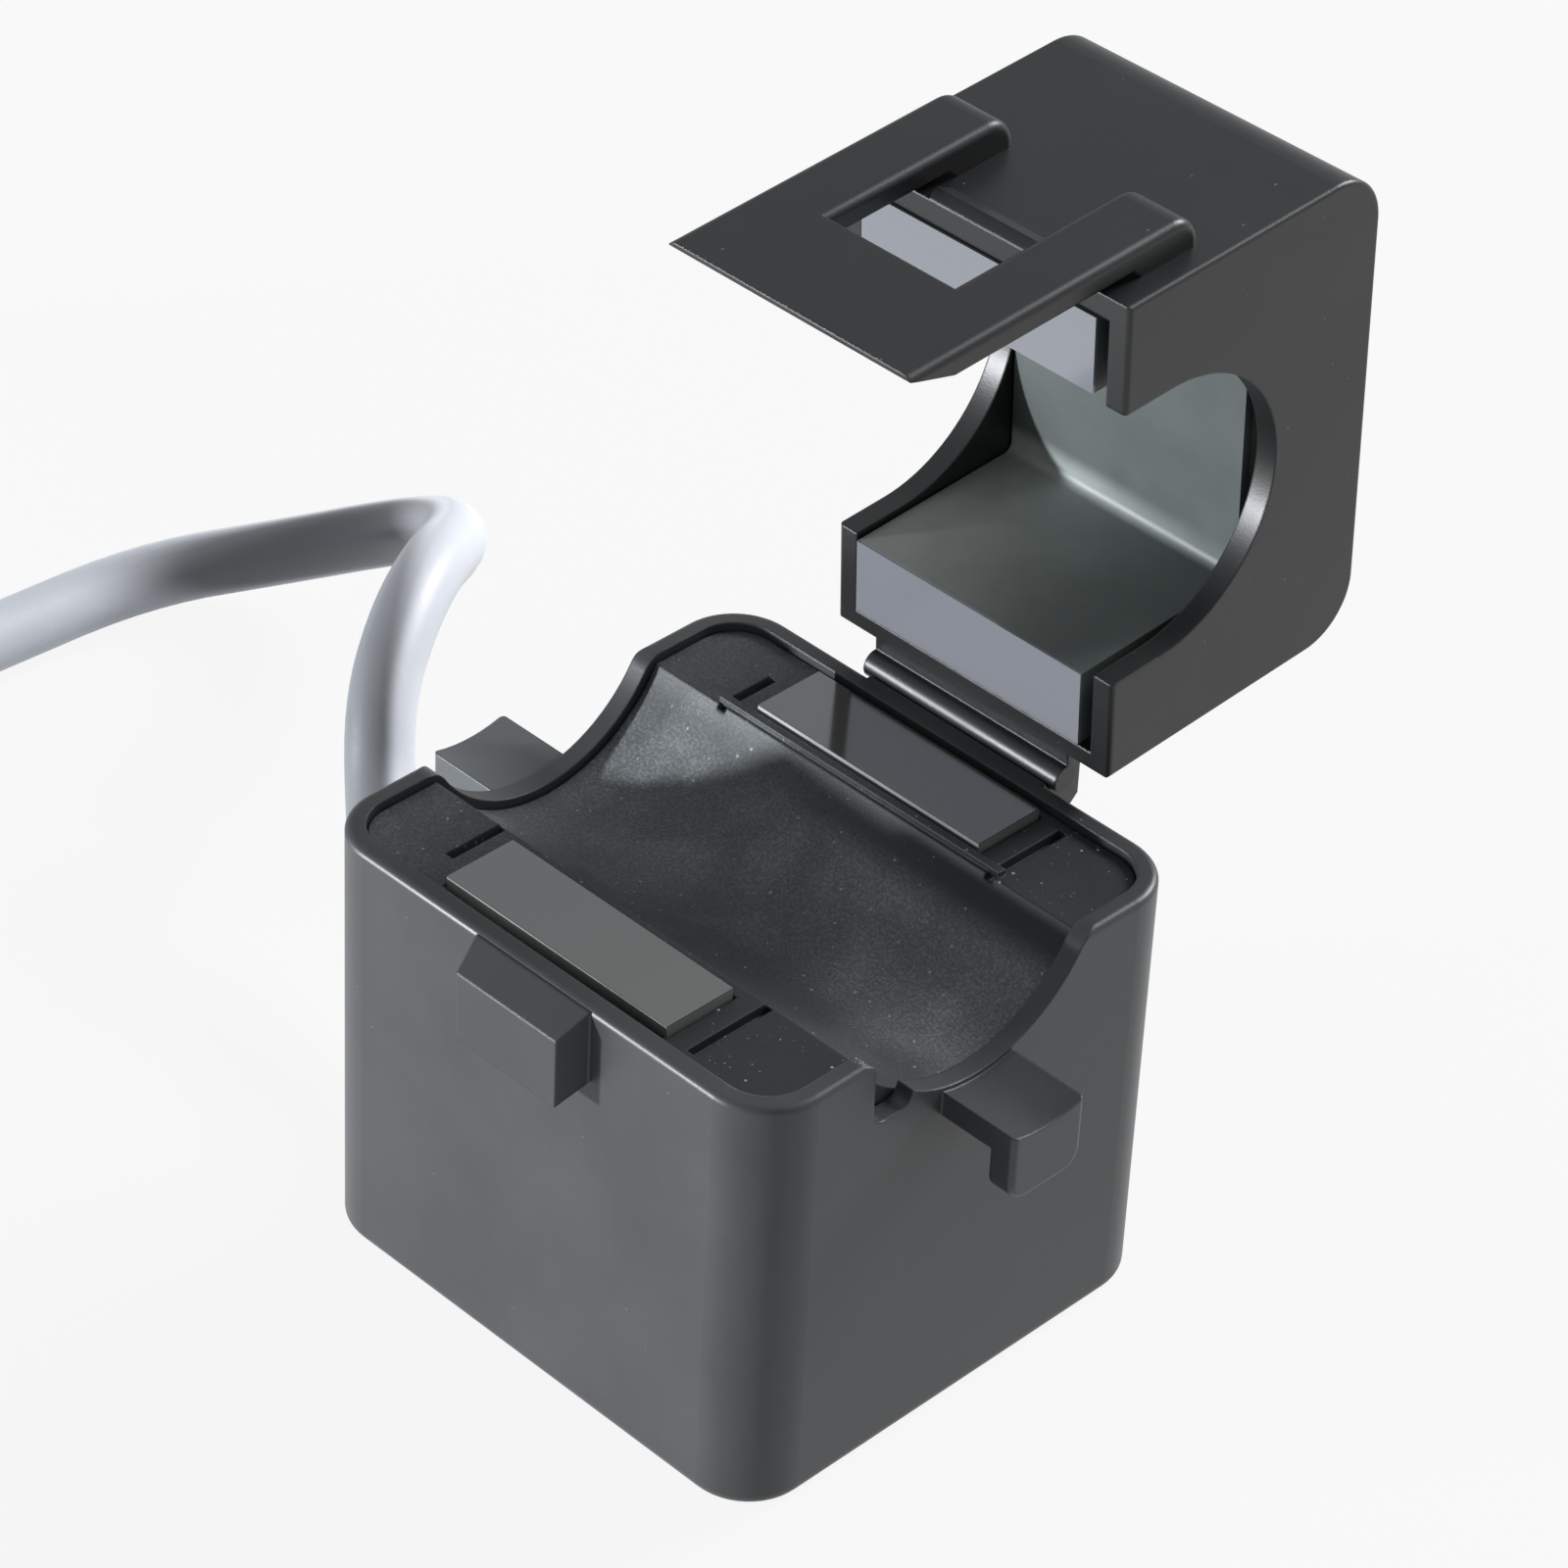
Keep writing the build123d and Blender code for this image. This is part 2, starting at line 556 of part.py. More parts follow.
def latch_strap():
    """U-shaped strap: two humped arms and a bar, thinned at its tip, that snaps under the catch."""
    inner = -BODY_WIDTH / 2 - STRAP_CLEAR
    outer = inner - STRAP_T
    z = LID_Z
    low = z - STRAP_DROP
    profile = [
        (LID_FRONT, z + HUMP_TOP), (outer, z + HUMP_TOP), (outer, low), (outer + STRAP_TIP_T, low),
        (inner, low + STRAP_LEAD), (inner, z + HUMP_FOOT - (LID_FRONT - inner)), (LID_FRONT, z + HUMP_FOOT)]
    strap = side_profile(profile, -STRAP_W / 2, STRAP_W / 2)
    nose = strap.edges().filter_by(Axis.X).filter_by_position(Axis.Y, outer - 0.01, outer + 0.01).sort_by(Axis.Z)[-1]
    strap = fillet(nose, HUMP_R)
    window_low = BODY_HEIGHT - CATCH_H - CATCH_PLAY
    strap -= block(-STRAP_WINDOW_W / 2, STRAP_WINDOW_W / 2, outer - 1, LID_FRONT, window_low, z + HUMP_TOP + 1)
    long_edges = strap.faces().sort_by(Axis.Y)[0].edges().filter_by(Axis.Z)
    return fillet(long_edges, STRAP_EDGE)


def hinge_bar():
    web = block(-BAR_LENGTH / 2, BAR_LENGTH / 2, LID_BACK - 0.2, HINGE_Y, LID_Z, LID_Z + WEB_T)
    return web + rod_x(BAR_R, -BAR_LENGTH / 2, BAR_LENGTH / 2, HINGE_Y, HINGE_Z)


def lid_shell():
    shell = lid_box(LID_FRONT, LID_BACK, LID_Z, LID_TOP, LID_X, LID_CORNER)
    ends = shell.faces().sort_by(Axis.X)
    shell = fillet(ends[0].edges() + ends[-1].edges(), LID_EDGE)
    shell -= lid_box(-LID_IN_Y, LID_IN_Y, LID_Z - LID_ROOF, LID_TOP - LID_ROOF, LID_IN_X, LID_IN_CORNER)
    shell -= rod_x(HOLE_R, -LID_X - 1, LID_X + 1, 0, HOLE_Z)
    shell -= block(-LID_X - 1, LID_X + 1, -HOLE_R, HOLE_R, LID_Z - 1, HOLE_Z)
    bead = side_profile(
        [(LID_FRONT + 0.2, LID_Z), (LID_FRONT, LID_Z), (LID_FRONT - EDGE_LIP, LID_Z + EDGE_LIP),
         (LID_FRONT, LID_Z + 3 * EDGE_LIP), (LID_FRONT + 0.2, LID_Z + 3 * EDGE_LIP)],
        -STRAP_WINDOW_W / 2 + 0.4, STRAP_WINDOW_W / 2 - 0.4)
    return shell + hinge_bar() + bead


def core_spring():
    """Bowed leaf between the lid's roof and the upper core."""
    x, y = SPRING_W / 2, CORE_IN
    rise = SPRING_ROOM - SPRING_T - 2 * SPRING_PLAY
    radius = (y ** 2 + rise ** 2) / (2 * rise)
    centre = CORE_TOP + SPRING_ROOM - SPRING_PLAY - radius
    leaf = rod_x(radius, -x, x, 0, centre) - rod_x(radius - SPRING_T, -x, x, 0, centre)
    return leaf & block(-x, x, -y, y, CORE_TOP + SPRING_PLAY, CORE_TOP + SPRING_ROOM)


def side_pad():
    """Foam strip that holds the upper core's yoke away from the near end plate."""
    return block(CORE_X + CORE_STACK / 2, LID_IN_X, -CORE_IN, CORE_IN,
                 UPPER_POLE_Z + CORE_DEPTH + PAD_INSET, CORE_TOP - PAD_INSET)


def save(name, shape):
    if isinstance(shape, list):
        shape = Compound(children=shape)
    export_step(shape, f"parts/{name}.step")
    print(name, len(shape.solids()), "solids", round(shape.volume, 1), "mm3")


save("base_shell", base_shell())
save("base_insert", base_insert())
save("lower_core", lower_core())
save("coil_former_lower", coil_former(False))
save("coil_former_upper", coil_former(True))
save("winding", winding())
save("winding_tape", winding_tape())
save("terminal_pins", terminal_pins())
save("circuit_board", circuit_board())
save("burden_resistor", chip(RESISTOR, RESISTOR_AT))
save("clamp_diode", chip(DIODE, DIODE_AT))
save("core_cushions", core_cushions())
save("cable_bush", cable_bush())
save("wire_lead_white", wire_lead(-1))
save("wire_lead_black", wire_lead(1))
save("output_cable", cord(ROUTE, CABLE_R))
save("cable_coil", cable_coil())
save("coil_tie", coil_tie())
save("cable_tail", cord(TAIL, CABLE_R))
save("tail_wires", [tail_wire(side, 0, CORE_WIRE_OUT, CORE_WIRE_R) for side in (-1, 1)])
save("wire_tips", [tail_wire(side, CORE_WIRE_OUT, TIP_OUT, TIP_R) for side in (-1, 1)])
save("lid_shell", swing(lid_shell()))
save("latch_strap", swing(latch_strap()))
save("upper_core", swing(upper_core()))
save("core_spring", swing(core_spring()))
save("side_pad", swing(side_pad()))
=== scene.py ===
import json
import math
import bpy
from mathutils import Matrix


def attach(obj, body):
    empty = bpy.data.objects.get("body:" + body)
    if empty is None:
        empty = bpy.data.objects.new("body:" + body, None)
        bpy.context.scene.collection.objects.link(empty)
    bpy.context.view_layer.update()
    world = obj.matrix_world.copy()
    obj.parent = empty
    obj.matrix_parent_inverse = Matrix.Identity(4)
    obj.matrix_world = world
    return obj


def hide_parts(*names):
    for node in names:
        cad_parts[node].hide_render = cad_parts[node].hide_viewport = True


bl_info = {
    "name": "Split-core current transformer",
    "version": (1, 0, 0),
    "blender": (4, 5, 0),
    "location": "View3D > Sidebar > Current Transformer",
    "description": "Dresses a hinged split-core current transformer with its cable, plastics and ferrite",
    "category": "Object",
}

import bpy
from bpy.props import FloatProperty, FloatVectorProperty, IntProperty, PointerProperty
from mathutils import Matrix, Vector

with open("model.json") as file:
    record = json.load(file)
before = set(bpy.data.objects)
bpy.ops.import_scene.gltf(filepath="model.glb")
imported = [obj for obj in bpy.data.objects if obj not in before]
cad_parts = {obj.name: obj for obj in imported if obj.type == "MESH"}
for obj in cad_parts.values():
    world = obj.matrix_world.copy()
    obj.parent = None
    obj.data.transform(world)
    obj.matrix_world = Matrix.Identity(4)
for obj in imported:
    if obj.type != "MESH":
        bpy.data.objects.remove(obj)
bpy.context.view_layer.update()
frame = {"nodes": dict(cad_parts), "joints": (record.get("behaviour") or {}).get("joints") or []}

MM = 0.001

# The hinge of the lid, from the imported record, and how far the lid stands open
HINGE = Vector(frame["joints"][0]["pos_m"])
OPEN_ANGLE = math.radians(frame["joints"][0]["range_deg"][1])

# The camera's film width in millimetres, and the nearest and farthest that it sees in metres
FILM_WIDTH = 36.0
SIGHT = (0.02, 20.0)

# The cable's route in millimetres, as in the part's source
CABLE_RADIUS = 2.0
ROUTE = [
    (-13.75, -2.6, 5.2), (-24.2, -2.6, 5.2), (-32.2, 3.6, 8.6), (-35.4, 6.4, 12.5),
    (-38.0, 10.4, 14.7), (-40.6, 14.9, 15.1), (-43.3, 19.3, 13.4), (-47.4, 22.4, 10.9),
    (-53.3, 23.4, 7.1), (-59.9, 20.7, 3.5), (-65.3, 13.8, 2.1), (-66.0, 2.1, 2.2),
    (-66.3, -7.9, 2.6), (-66.4, -16.0, 3.1)]
TAIL = [
    (-66.4, -16.0, 9.9), (-66.2, -21.2, 9.6), (-65.8, -26.6, 7.2), (-65.4, -31.6, 4.2),
    (-65.0, -36.0, 2.4), (-64.6, -40.0, 2.05)]

# The put-away coil in millimetres: its middle, then the radius and height of each turn
COIL_MIDDLE = (-91.0, -16.0)
COIL_OUTER = 24.7
COIL_INNER = 21.0
TURN_RADII = (COIL_OUTER, COIL_INNER, COIL_INNER, COIL_OUTER, COIL_INNER, COIL_OUTER)
TURN_HEIGHTS = (2.6, 2.6, 6.4, 6.4, 10.2, 10.2)
POINTS_PER_TURN = 16
# The share of a turn in which the cable steps over to the next radius and height
STEP_SHARE = 0.22

# The side of the cable darkened with painted shade, and how squarely a face has to look that way
PAINTED_SHADE_SIDE = (-0.1, -0.95, 0.2)
PAINTED_SHADE_EDGE = (0.05, 0.50)

# Where dust, painted light and sheen, and the cores' painted reflection fade on the pieces, from and to, in
# metres along the axis in each name
FAR_TONGUE_X = (-0.0168, -0.0162)
TROUGH_TOP_Z = (0.0228, 0.0243)
LEFT_END_X = (-0.013, 0.010)
RIGHT_END_X = (-0.006, 0.014)
FAR_HALF_Y = (-0.003, 0.003)
CORE_LEFT_X = (-0.009, 0.007)
CORE_LEG_Z = (0.0346, 0.0360)

# How thickly dust and painted light lie: dust with painted light on the far tongue and at the insert's left
# end, dust alone all over the trough, and dust with painted sheen on the trough's far half and at the right
# end of that
TONGUE_DUST_AND_PAINTED_LIGHT = 0.22
LEFT_DUST_AND_PAINTED_LIGHT = 0.46
TROUGH_POWDER = 0.16
FAR_DUST_AND_PAINTED_SHEEN = 0.30
RIGHT_DUST_AND_PAINTED_SHEEN = 0.85

# The shine of black nylon, dusty nylon and PVC, and that of the ground ferrite of each core
NYLON_IOR = 1.5
DUSTY_IOR = 1.4
PVC_IOR = 1.5
LOWER_CORE_IOR = 2.75
UPPER_CORE_IOR = 1.8

# The lower core's pole faces stand at this height, in metres
LOWER_POLE_Z = 0.0261
# How deep the ground look of a pole face reaches and fades out, in metres
LOWER_GROUND = (0.00002, 0.00008)
UPPER_GROUND = (0.00008, 0.00022)

# Bands per metre of the wave pattern that stands for the winding's turns
WINDING_BANDS = 1400.0

# The sealed pieces: finish, its nodes, colour, roughness and metallic
INNER_FINISHES = [
    ("natural_nylon", ("coil_former_lower", "coil_former_upper"), (0.80, 0.78, 0.70), 0.45, 0.0),
    ("insulating_tape", ("winding_tape",), (0.72, 0.55, 0.08), 0.3, 0.0),
    ("tinned_pins", ("terminal_pins", "wire_tips"), (0.62, 0.61, 0.58), 0.3, 1.0),
    ("green_laminate", ("circuit_board",), (0.03, 0.16, 0.07), 0.35, 0.0),
    ("black_epoxy", ("burden_resistor", "clamp_diode"), (0.02, 0.02, 0.02), 0.4, 0.0),
    ("foam_pads", ("core_cushions", "side_pad"), (0.05, 0.05, 0.05), 0.9, 0.0),
    ("white_insulation", ("wire_lead_white", "tail_wires"), (0.78, 0.78, 0.75), 0.4, 0.0),
    ("black_insulation", ("wire_lead_black",), (0.02, 0.02, 0.02), 0.4, 0.0),
    ("spring_steel", ("core_spring",), (0.5, 0.5, 0.48), 0.3, 1.0),
    ("black_tie", ("coil_tie",), (0.02, 0.02, 0.022), 0.5, 0.0),
]

# Half the floor's width in metres, and the share of its own light on the rays that show it
FLOOR_HALF = 1.5
FLOOR_GLOW = 0.9

# The soft lights: name, the setting that holds its power, place, diameter in metres and tint
LAMPS = [
    ("back_light", "back", (0.12, 0.74, 0.50), 0.35, (0.97, 0.98, 1.0)),
    ("front_light", "front", (-0.50, -0.70, 0.04), 0.075, (0.93, 0.96, 1.0)),
]
LAMP_AIM = Vector((0.0, 0.0, 0.02))


class Field:
    """A node's output that takes part in Python expressions, on either side of an operator."""

    def __init__(self, graph, socket):
        self.graph = graph
        self.socket = socket

    def _math(self, operation, a, b):
        return self.graph.node("ShaderNodeMath", {"operation": operation}, {0: a, 1: b})

    def __add__(self, other):
        return self._math("ADD", self, other)

    __radd__ = __add__

    def __sub__(self, other):
        return self._math("SUBTRACT", self, other)

    def __rsub__(self, other):
        return self._math("SUBTRACT", other, self)

    def __mul__(self, other):
        return self._math("MULTIPLY", self, other)

    __rmul__ = __mul__

    def __truediv__(self, other):
        return self._math("DIVIDE", self, other)

    def __rtruediv__(self, other):
        return self._math("DIVIDE", other, self)

    def __lt__(self, other):
        return self._math("LESS_THAN", self, other)

    def __gt__(self, other):
        return self._math("GREATER_THAN", self, other)

    def clamped(self):
        return self.graph.node("ShaderNodeClamp", {}, {"Value": self, "Min": 0.0, "Max": 1.0})

    def smooth(self, low, high):
        """0 below low, 1 above high, and an even rise between them."""
        settings = {"clamp": True, "interpolation_type": "SMOOTHSTEP"}
        return self.graph.node("ShaderNodeMapRange", settings, {0: self, 1: low, 2: high, 3: 0.0, 4: 1.0})


class Graph:
    """A node tree, emptied and built anew from one method."""

    def __init__(self, tree):
        self.tree = tree
        tree.nodes.clear()

    def add(self, kind, settings, values):
        """Adds a node, sets its settings first and then the values or links of its sockets."""
        made = self.tree.nodes.new(kind)
        for name, value in settings.items():
            setattr(made, name, value)
        for key, value in values.items():
            if isinstance(value, Field):
                self.tree.links.new(value.socket, made.inputs[key])
            else:
                made.inputs[key].default_value = value
        return made

    def node(self, kind, settings, values, output=0):
        """Adds a node and gives one of its outputs."""
        return Field(self, self.add(kind, settings, values).outputs[output])

    def background_rays(self):
        """1 on the rays that show a background: straight, mirrored or through glass."""
        ways = ("Is Camera Ray", "Is Glossy Ray", "Is Transmission Ray")
        straight, mirrored, through = [self.node("ShaderNodeLightPath", {}, {}, way) for way in ways]
        return (straight + mirrored + through).clamped()


class Finish(Graph):
    """One material: a Principled shader and the nodes that feed it."""

    def __init__(self, name, **constants):
        self.material = bpy.data.materials.new(name)
        self.material.use_nodes = True
        super().__init__(self.material.node_tree)
        self.shader = self.add("ShaderNodeBsdfPrincipled", {}, constants)
        self.surface = Field(self, self.shader.outputs[0])
        self.output = self.add("ShaderNodeOutputMaterial", {}, {"Surface": self.surface})

    def feed(self, socket, field):
        self.tree.links.new(field.socket, self.shader.inputs[socket])

    def place(self):
        """Position on the piece in its own metres."""
        return self.node("ShaderNodeTexCoord", {}, {}, "Object")

    def axis(self, letter):
        return self.node("ShaderNodeSeparateXYZ", {}, {0: self.place()}, "XYZ".index(letter))

    def towards(self, vector, direction):
        """How far a vector reaches in a direction."""
        return self.node("ShaderNodeVectorMath", {"operation": "DOT_PRODUCT"}, {0: vector, 1: direction}, 1)

    def noise(self, size, detail=2.0, rough=0.5, stretch=(1.0, 1.0, 1.0)):
        """Noise with features of about the size given, in metres."""
        at = self.node("ShaderNodeVectorMath", {"operation": "MULTIPLY"}, {0: self.place(), 1: stretch})
        values = {"Vector": at, "Scale": 1.0 / size, "Detail": detail, "Roughness": rough}
        return self.node("ShaderNodeTexNoise", {}, values)

    def specks(self, spacing, radius, keep):
        """1 inside small round specks about a spacing apart; keep is the share that shows."""
        settings = {"feature": "F1"}
        values = {"Vector": self.place(), "Scale": 1.0 / spacing}
        cell = self.node("ShaderNodeTexVoronoi", settings, values, "Distance")
        pick = self.node("ShaderNodeTexVoronoi", settings, values, "Color")
        chance = self.node("ShaderNodeSeparateColor", {}, {0: pick}, "Red")
        size = self.node("ShaderNodeSeparateColor", {}, {0: pick}, "Green") * 0.8 + 0.3
        inside = 1 - (cell / size).smooth(radius / spacing * 0.7, radius / spacing)
        return inside * (chance < keep)

    def mix(self, mask, low, high):
        """Colour low where the mask is 0 and high where it is 1."""
        low, high = [colour if isinstance(colour, Field) else (*colour, 1.0) for colour in (low, high)]
        return self.node("ShaderNodeMix", {"data_type": "RGBA"}, {0: mask, 6: low, 7: high}, 2)

    def mottled(self, cloud, tint, change, high=0.7):
        """A colour that changes by a factor from patch to patch."""
        return self.mix(cloud.smooth(0.3, high), tint, tint * change)

    def varied(self, pattern, middle, swing):
        """A value that follows a pattern of 0 to 1, by a swing about its middle."""
        return pattern * swing + (middle - swing / 2)

    def bump(self, height, depth, strength, rounding=0.0):
        """Feeds the normal from a height and, where asked, rounds sharp edges."""
        values = {"Height": height, "Distance": depth, "Strength": strength}
        if rounding:
            values["Normal"] = self.node("ShaderNodeBevel", {"samples": 6}, {"Radius": rounding})
        self.feed("Normal", self.node("ShaderNodeBump", {}, values))

    def dress(self, *names):
        """Puts the material on CAD nodes."""
        for name in names:
            mesh = frame["nodes"][name].data
            mesh.materials.clear()
            mesh.materials.append(self.material)


class CameraSettings(bpy.types.PropertyGroup):
    lens: FloatProperty(
        name="Lens", description="Focal length of the camera",
        default=136.26, unit="CAMERA")
    azimuth: FloatProperty(
        name="Azimuth", description="Turn round the object, from its front",
        default=math.radians(45.08), subtype="ANGLE")
    elevation: FloatProperty(
        name="Elevation", description="Height above the horizon",
        default=math.radians(34.82), subtype="ANGLE")
    roll: FloatProperty(
        name="Roll", description="Tilt of the picture",
        default=math.radians(2.01), subtype="ANGLE")
    place: FloatVectorProperty(
        name="Place", description="Where the camera stands",
        default=(0.16479, -0.17196, 0.20889), subtype="TRANSLATION")
    shift: FloatVectorProperty(
        name="Shift", description="Sideways and upward shift of the lens",
        default=(0.0830, -0.1414), size=2)


class LightSettings(bpy.types.PropertyGroup):
    back: FloatProperty(
        name="Back light", description="Power of the soft light behind on the right",
        default=8.0, unit="POWER")
    front: FloatProperty(
        name="Front light", description="Power of the soft light low in front on the left",
        default=11.0, unit="POWER")
    room: FloatVectorProperty(
        name="Room", description="Colour of the room's light",
        default=(0.26, 0.26, 0.257), subtype="COLOR")
    sky: FloatVectorProperty(
        name="Sky", description="Colour of the pale surroundings in reflections",
        default=(0.56, 0.57, 0.59), subtype="COLOR")
    floor: FloatVectorProperty(
        name="Floor", description="Colour of the pale floor",
        default=(0.47, 0.48, 0.50), subtype="COLOR")


class PlasticSettings(bpy.types.PropertyGroup):
    base: FloatVectorProperty(
        name="Base", description="Colour of the base's nylon",
        default=(0.040, 0.043, 0.0455), subtype="COLOR")
    lid: FloatVectorProperty(
        name="Lid", description="Colour of the lid's nylon",
        default=(0.007, 0.0078, 0.0082), subtype="COLOR")
    insert: FloatVectorProperty(
        name="Insert", description="Colour of the insert's nylon",
        default=(0.018, 0.021, 0.023), subtype="COLOR")
    roughness: FloatProperty(
        name="Roughness", description="Roughness of the moulded faces",
        default=0.40, subtype="FACTOR")
    grain: FloatProperty(
        name="Grain", description="Size of the mould's fine grain",
        default=0.00016, unit="LENGTH")
    edge: FloatProperty(
        name="Edge", description="Rounding seen on the mould's sharp edges",
        default=0.00018, unit="LENGTH")


class DustSettings(bpy.types.PropertyGroup):
    spacing: FloatProperty(
        name="Spacing", description="Distance between the insert's dust specks",
        default=0.00052, unit="LENGTH")
    size: FloatProperty(
        name="Size", description="Radius of a dust speck on the insert",
        default=0.0001, unit="LENGTH")
    share: FloatProperty(
        name="Share", description="Share of the places on the insert that hold a speck",
        default=0.42, subtype="FACTOR")
    dust_and_painted_light: FloatVectorProperty(
        name="Dust and painted light", description="Colour of the powder on the insert and the far tongue",
        default=(0.33, 0.36, 0.37), subtype="COLOR")
    fine: FloatVectorProperty(
        name="Fine specks", description="Colour of the insert's fine specks",
        default=(0.35, 0.38, 0.38), subtype="COLOR")
    coarse: FloatVectorProperty(
        name="Coarse specks", description="Colour of the insert's coarse specks",
        default=(0.5, 0.52, 0.52), subtype="COLOR")
    stray: FloatVectorProperty(
        name="Stray specks", description="Colour of the few specks on the housing",
        default=(0.32, 0.33, 0.34), subtype="COLOR")


class FerriteSettings(bpy.types.PropertyGroup):
    upper_body: FloatVectorProperty(
        name="Upper core", description="Colour of its unground faces",
        default=(0.030, 0.042, 0.039), subtype="COLOR")
    upper_pole: FloatVectorProperty(
        name="Upper pole faces", description="Colour of its ground faces",
        default=(0.205, 0.215, 0.24), subtype="COLOR")
    lower_body: FloatVectorProperty(
        name="Lower core", description="Colour of its unground faces",
        default=(0.02, 0.022, 0.02), subtype="COLOR")
    lower_pole: FloatVectorProperty(
        name="Lower pole faces", description="Colour of its ground faces",
        default=(0.028, 0.028, 0.020), subtype="COLOR")
    painted_reflection: FloatVectorProperty(
        name="Painted reflection", description="Colour of the pale haze on the unground faces",
        default=(0.52, 0.57, 0.55), subtype="COLOR")
    polish: FloatProperty(
        name="Polish", description="Roughness of the ground faces",
        default=0.07, subtype="FACTOR")


class CableSettings(bpy.types.PropertyGroup):
    tint: FloatVectorProperty(
        name="Jacket", description="Colour of the cable's jacket",
        default=(0.82, 0.85, 0.92), subtype="COLOR")
    painted_shade: FloatProperty(
        name="Painted shade", description="How much of its colour the jacket's shade-painted front side keeps",
        default=0.24, subtype="FACTOR")
    sides: IntProperty(
        name="Sides", description="Fineness of the cable's round section",
        default=8, min=3)


class CT_OT_camera(bpy.types.Operator):
    """Set up the camera at the photograph's viewing angle"""

    bl_idname = "ct.camera"
    bl_label = "Camera"

    def execute(self, context):
        s = context.scene.ct_camera
        a, e, r = s.azimuth, s.elevation, s.roll
        back = Vector((math.sin(a) * math.cos(e), -math.cos(a) * math.cos(e), math.sin(e)))
        right = Vector((math.cos(a), math.sin(a), 0.0))
        up = back.cross(right)
        across = right * math.cos(r) + up * math.sin(r)
        upright = up * math.cos(r) - right * math.sin(r)
        data = bpy.data.cameras.new("camera")
        data.lens = s.lens
        data.sensor_width = FILM_WIDTH
        data.shift_x, data.shift_y = s.shift
        data.clip_start, data.clip_end = SIGHT
        camera = bpy.data.objects.new("camera", data)
        context.scene.collection.objects.link(camera)
        turn = Matrix((across, upright, back)).transposed().to_4x4()
        camera.matrix_world = Matrix.Translation(Vector(s.place)) @ turn
        context.scene.camera = camera
        return {"FINISHED"}


def coil_points():
    """The put-away turns as control points, clockwise from where the cable joins them."""
    # The spline runs inside its control points, at this share of their radius
    share = 0.75 + 0.25 * math.cos(2 * math.pi / POINTS_PER_TURN)
    points = []
    for k in range(1, len(TURN_RADII) * POINTS_PER_TURN):
        turn = k / POINTS_PER_TURN
        lap = int(turn)
        before = max(lap - 1, 0)
        step = min(1.0, (turn - lap) / STEP_SHARE)
        radius = (TURN_RADII[before] + (TURN_RADII[lap] - TURN_RADII[before]) * step) / share
        height = TURN_HEIGHTS[before] + (TURN_HEIGHTS[lap] - TURN_HEIGHTS[before]) * step
        angle = -2 * math.pi * turn
        points.append((COIL_MIDDLE[0] + radius * math.cos(angle),
                       COIL_MIDDLE[1] + radius * math.sin(angle), height))
    return points


class CT_OT_cable(bpy.types.Operator):
    """Lay the output cable, its coil and its tail"""

    bl_idname = "ct.cable"
    bl_label = "Output cable"

    def execute(self, context):
        s = context.scene.ct_cable
        points = ROUTE + coil_points() + TAIL
        curve = bpy.data.curves.new("output_cable_jacket", "CURVE")
        curve.dimensions = "3D"
        curve.bevel_depth = CABLE_RADIUS * MM
        curve.bevel_resolution = s.sides
        curve.resolution_u = 6
        curve.use_fill_caps = True
        line = curve.splines.new("NURBS")
        line.points.add(len(points) - 1)
        for point, place in zip(line.points, points):
            point.co = (*(Vector(place) * MM), 1.0)
        line.order_u = 3
        line.use_endpoint_u = True
        cable = bpy.data.objects.new("output_cable_jacket", curve)
        context.scene.collection.objects.link(cable)
        jacket = Finish("cable_jacket", IOR=PVC_IOR)
        tint = Vector(s.tint)
        cloud = jacket.noise(0.006, detail=3.0)
        # Painted shade: the jacket's side that faces the front is darkened in its colour, standing in for
        # the shade that falls on it
        facing = jacket.node("ShaderNodeTexCoord", {}, {}, "Normal")
        front = jacket.towards(facing, PAINTED_SHADE_SIDE).smooth(*PAINTED_SHADE_EDGE)
        body = jacket.mix(front, tint, tint * s.painted_shade)
        jacket.feed("Base Color", jacket.mix(cloud.smooth(0.35, 0.75) * 0.1, body, tint * 0.5))
        jacket.feed("Roughness", jacket.varied(cloud, middle=0.42, swing=0.16))
        jacket.bump(jacket.noise(0.0004), depth=0.00002, strength=0.5)
        curve.materials.append(jacket.material)
        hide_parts("output_cable", "cable_coil", "cable_tail")
        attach(cable, "base")
        return {"FINISHED"}


class CT_OT_housing(bpy.types.Operator):
    """Give the base, lid and latch their moulded black nylon"""

    bl_idname = "ct.housing"
    bl_label = "Housing"

    def execute(self, context):
        s = context.scene.ct_plastic
        d = context.scene.ct_dust
        mouldings = (("moulded_base", ("base_shell",), s.base),
                     ("moulded_lid", ("lid_shell", "latch_strap"), s.lid))
        for name, nodes, shade in mouldings:
            nylon = Finish(name, IOR=NYLON_IOR)
            cloud = nylon.noise(0.009, detail=4.0, rough=0.6)
            grain = nylon.noise(s.grain, rough=0.6)
            specks = nylon.specks(spacing=0.0012, radius=0.00008, keep=0.3)
            body = nylon.mottled(cloud, Vector(shade), 1.35, high=0.75)
            # Dust with painted light: the far tongue's end is paled in its colour, partly for dust and
            # partly standing in for light that falls there
            tongue = (1 - nylon.axis("X").smooth(*FAR_TONGUE_X)) * TONGUE_DUST_AND_PAINTED_LIGHT
            body = nylon.mix(tongue, body, d.dust_and_painted_light)
            nylon.feed("Base Color", nylon.mix(specks * 0.5, body, d.stray))
            rough = nylon.varied(cloud, middle=s.roughness, swing=0.16)
            nylon.feed("Roughness", rough + specks * 0.3)
            nylon.bump(grain * 0.5 + cloud * 0.5, depth=0.00003, strength=0.35, rounding=s.edge)
            nylon.dress(*nodes)
        return {"FINISHED"}


